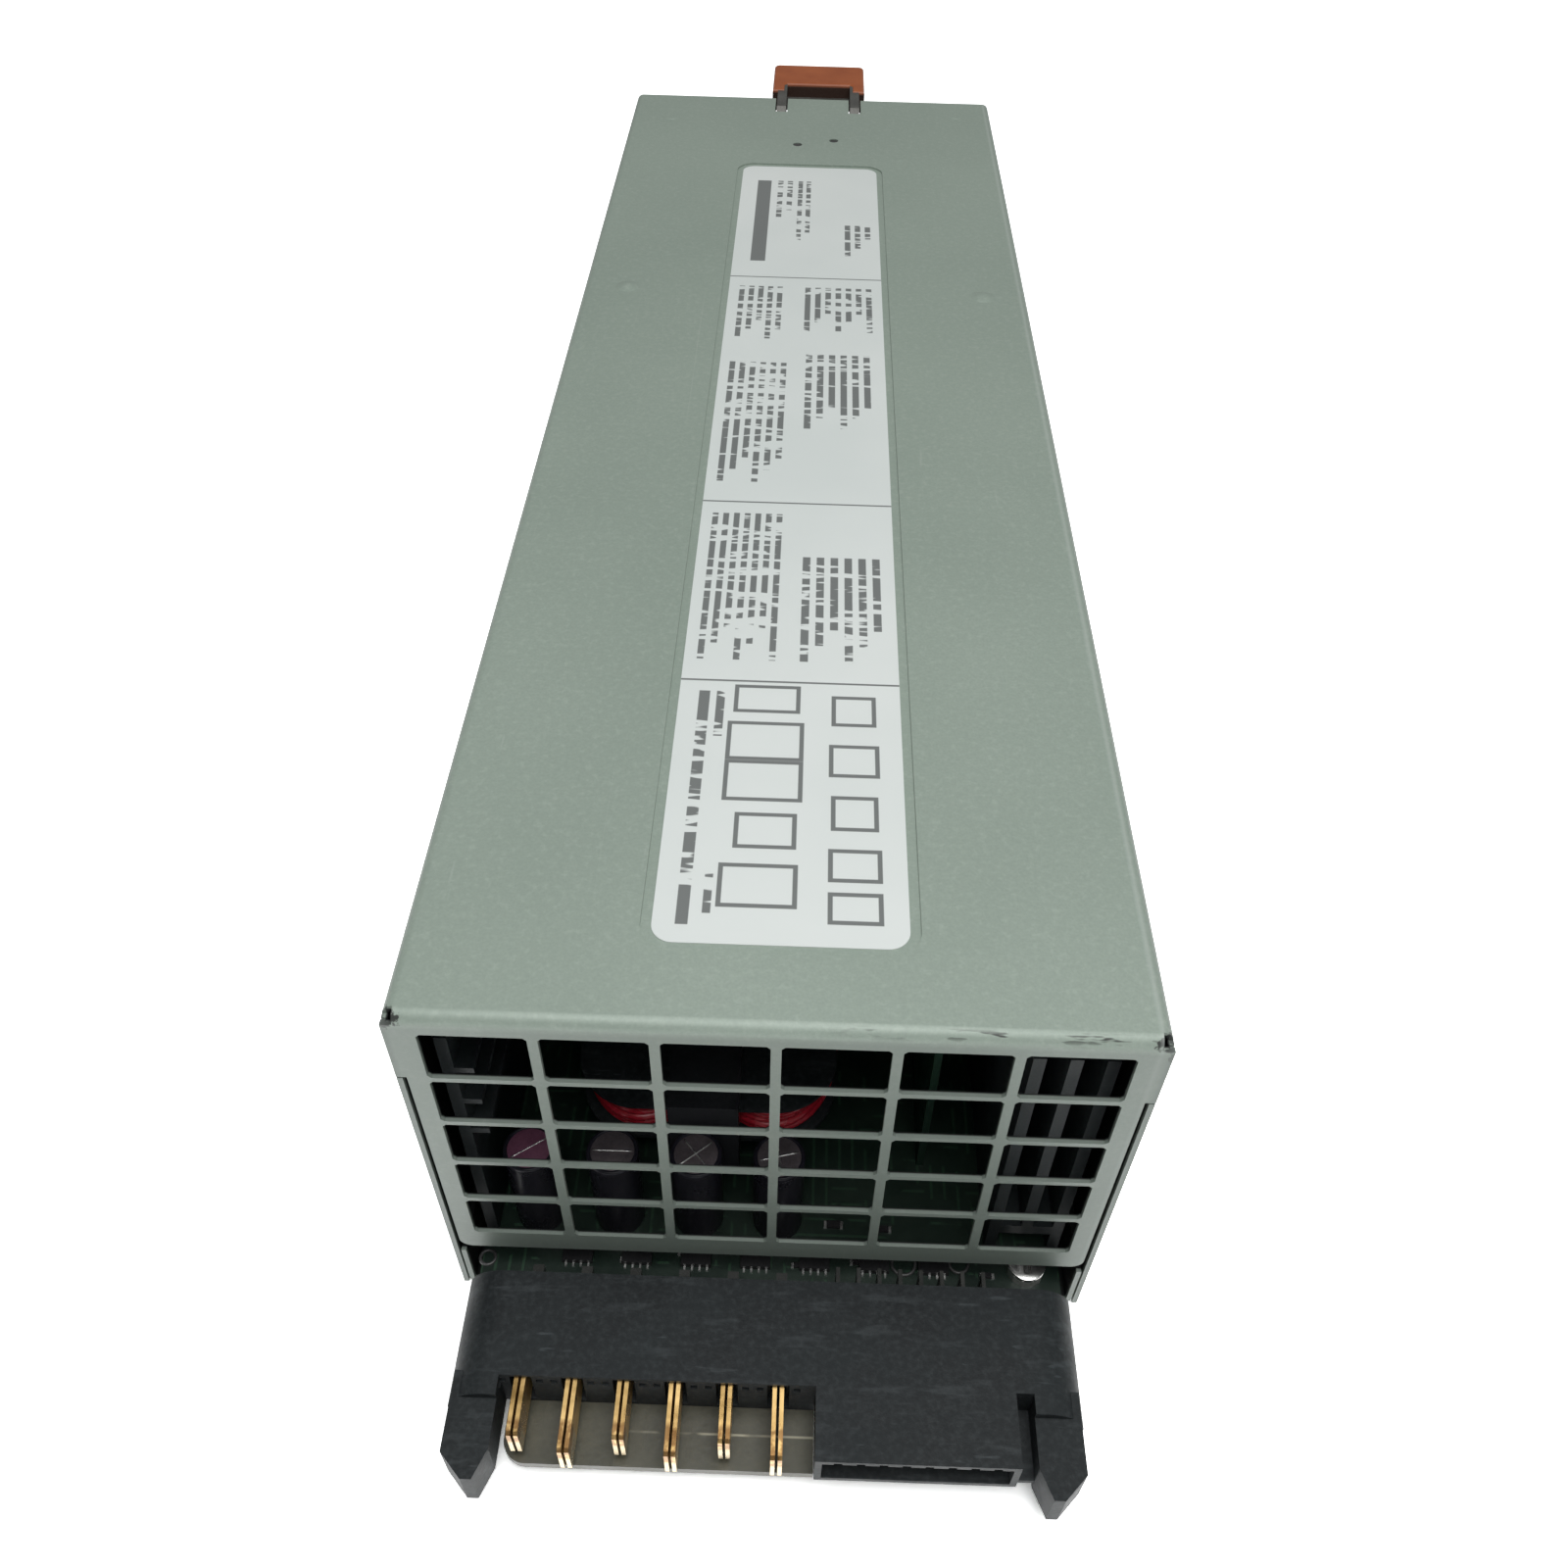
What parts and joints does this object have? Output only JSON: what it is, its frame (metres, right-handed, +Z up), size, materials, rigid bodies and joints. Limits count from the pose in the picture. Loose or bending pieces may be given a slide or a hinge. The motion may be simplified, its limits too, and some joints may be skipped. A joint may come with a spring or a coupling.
{
  "type": "hot swap server power supply",
  "caption": "Slim sheet-steel hot swap power supply with an exhaust grille, blade power connector, release latch, pull bail, fan and mains inlet.",
  "frame": {"origin": "centre of the casing's underside, midway along the casing", "axes": "+Z up, -Y towards the power connector and exhaust grille, +Y towards the handle and mains inlet, +X to the right when looking at the connector end from outside"},
  "size_m": [0.1, 0.3757, 0.0752],
  "materials": {
    "case_paint": "fine speckled grey-green coat",
    "case_steel": "fine speckled grey-green coat",
    "insulator": "matt film",
    "plated_steel": "zinc plated",
    "circuit_board": "solder mask",
    "connector_plastic": "moulded, glass filled",
    "contact_gold": "gold plated copper alloy",
    "ferrite": "sintered, matt",
    "red_enamel": "enamelled wire",
    "yellow_tape": "polyester tape",
    "heatsink": "mill finish extrusion",
    "chip_epoxy": "moulded epoxy",
    "film_box": "moulded box",
    "fan_plastic": "moulded, black",
    "copper": "bare copper",
    "latch_plastic": "moulded, terracotta",
    "dark_rivet": "dark passivated",
    "capacitor_sleeve": "shrink sleeve with bare top",
    "lens": "clear moulded light pipe",
    "label_film": "printed film left blank"
  },
  "bodies": {
    "chassis": {"top_cover": "case_paint", "base_pan": "case_steel", "front_plate": "case_steel", "insulator_sheet": "insulator", "board_standoffs": "plated_steel", "main_board": "circuit_board", "board_screws": "plated_steel", "connector_housing": "connector_plastic", "signal_pins": "contact_gold", "choke_bobbin": "connector_plastic", "choke_core_upper": "ferrite", "choke_core_lower": "ferrite", "choke_winding": "red_enamel", "transformer_core": "ferrite", "transformer_winding": "yellow_tape", "heatsink_left": "heatsink", "heatsink_right": "heatsink", "power_transistors": "chip_epoxy", "control_board": "circuit_board", "control_chips": "chip_epoxy", "film_capacitors": "film_box", "bridge_rectifier": "chip_epoxy", "surface_chips": "chip_epoxy", "fan_frame": "fan_plastic", "fan_guard": "plated_steel", "fan_screws": "plated_steel", "inlet_housing": "connector_plastic", "inlet_pins": "plated_steel", "inlet_busbars": "copper", "latch_pin": "plated_steel", "latch_bracket": "plated_steel", "latch_spring": "plated_steel", "latch_rivets": "dark_rivet", "rating_label": "label_film", "cover_screws": "plated_steel", "power_blade_1": "contact_gold", "power_blade_2": "contact_gold", "power_blade_3": "contact_gold", "power_blade_4": "contact_gold", "power_blade_5": "contact_gold", "power_blade_6": "contact_gold", "output_capacitor_1": "capacitor_sleeve", "output_capacitor_2": "capacitor_sleeve", "output_capacitor_3": "capacitor_sleeve", "output_capacitor_4": "capacitor_sleeve", "bulk_capacitor_1": "capacitor_sleeve", "bulk_capacitor_2": "capacitor_sleeve", "status_lens_1": "lens", "status_lens_2": "lens", "status_lens_3": "lens"},
    "fan": {"fan_rotor": "fan_plastic", "fan_shaft": "plated_steel"},
    "handle": {"pull_handle": "plated_steel"},
    "latch": {"latch_lever": "plated_steel", "latch_grip": "latch_plastic"}
  },
  "joints": [
    {"name": "fan_spin", "type": "hinge", "parent": "chassis", "child": "fan", "pos_m": [-0.0168, 0.145, 0.034], "axis": [0, 1, 0], "continuous": true},
    {"name": "handle_hinge", "type": "hinge", "parent": "chassis", "child": "handle", "pos_m": [0, 0.165, 0.038], "axis": [1, 0, 0], "range_deg": [0, 90]},
    {"name": "latch_hinge", "type": "hinge", "parent": "chassis", "child": "latch", "pos_m": [0.0016, 0.122, 0.0688], "axis": [-1, 0, 0], "range_deg": [0, 4], "stiffness_Nm_per_rad": 0.3, "springref_deg": -8.59, "deforming": ["latch_spring"]}
  ]
}
